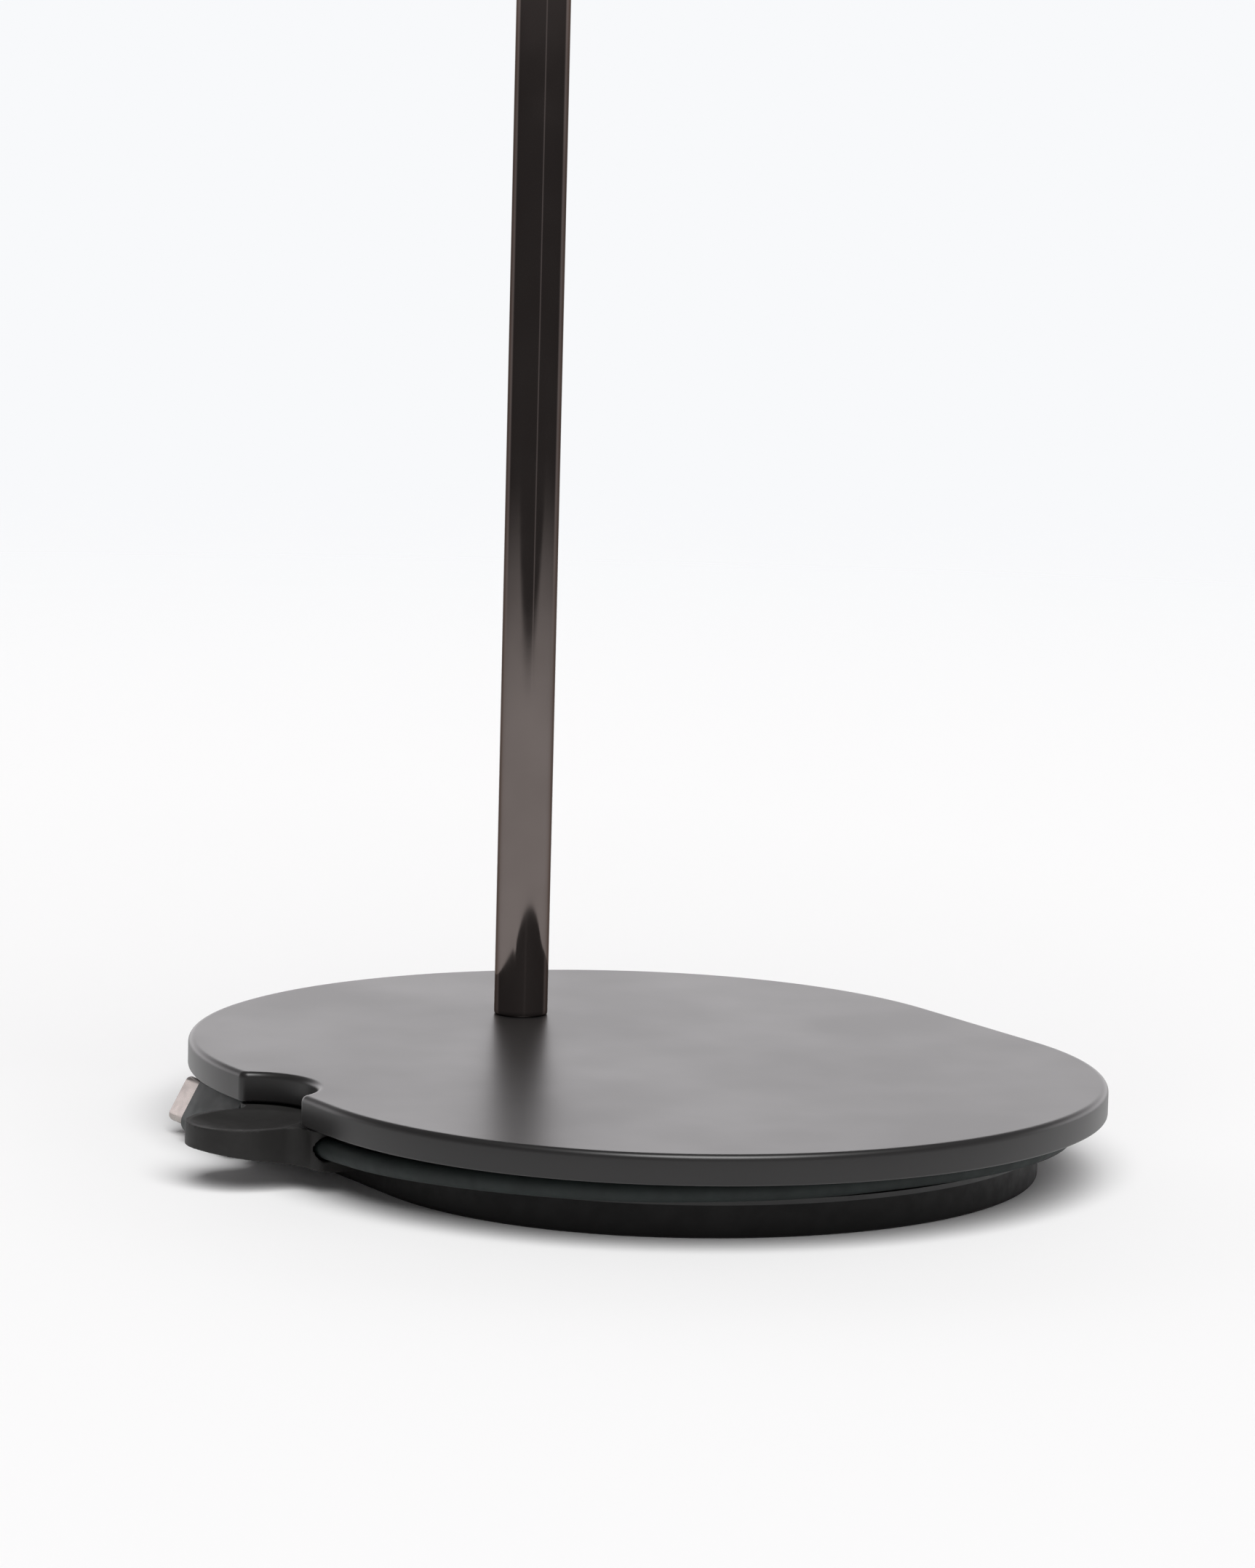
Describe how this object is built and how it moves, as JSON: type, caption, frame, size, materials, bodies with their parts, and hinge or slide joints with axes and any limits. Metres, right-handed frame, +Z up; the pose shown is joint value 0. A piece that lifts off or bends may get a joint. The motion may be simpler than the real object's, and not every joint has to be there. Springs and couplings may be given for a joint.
{
  "type": "headphone stand",
  "caption": "Headphone stand: oval steel base with a finger scoop, bent tube pole, padded headband cradle, and a cable spool with a silicone tab under the base.",
  "frame": {"origin": "on the floor, under the centre of the base plate's oval outline", "axes": "+Z up along the pole; -Y is the front, where the arm points; +Y is the back, behind the pole; -X is the left side, with the finger scoop and the cable tab"},
  "size_m": [0.1555, 0.1684, 0.2365],
  "materials": {
    "plate_steel": "satin black powder coat on steel",
    "black_nickel": "mirror-polished black nickel plating on a steel tube",
    "foot_silicone": "matte black moulded silicone",
    "tab_silicone": "matte grey moulded silicone",
    "spool_abs": "moulded ABS, lightly textured",
    "lead_jacket": "soft green-black TPE cable jacket",
    "plug_moulding": "moulded plug grip, satin",
    "plug_steel": "drawn stainless shell, bright",
    "zinc_steel": "zinc-plated turned steel",
    "cradle_alloy": "die-cast alloy, blasted"
  },
  "bodies": {
    "stand": {"base_plate": "plate_steel", "foot_pad": "foot_silicone", "spool_flange": "spool_abs", "spool_core": "spool_abs", "spool_screws": "zinc_steel", "tab_root": "tab_silicone", "pole": "black_nickel", "pole_insert": "zinc_steel", "pole_washer": "zinc_steel", "pole_screw": "zinc_steel", "arm_end_cap": "spool_abs", "cradle_core": "cradle_alloy", "cradle_screws": "zinc_steel", "cradle_nuts": "zinc_steel", "cradle_cover": "foot_silicone", "cable_lead": "lead_jacket", "cable_tail": "lead_jacket", "cable_winding": "lead_jacket", "plug_body": "plug_moulding", "plug_shell": "plug_steel", "plug_contacts": "spool_abs", "plug_relief": "plug_moulding", "inner_plug_body": "plug_moulding", "inner_plug_shell": "plug_steel", "inner_plug_contacts": "spool_abs", "inner_plug_relief": "plug_moulding"},
    "tab": {"cable_tab": "tab_silicone"}
  },
  "joints": [
    {"name": "tab_flex", "type": "hinge", "parent": "stand", "child": "tab", "pos_m": [-0.0703, 0.0016, 0.0075], "axis": [0, -1, 0], "range_deg": [0, 15], "stiffness_Nm_per_rad": 0.05}
  ]
}
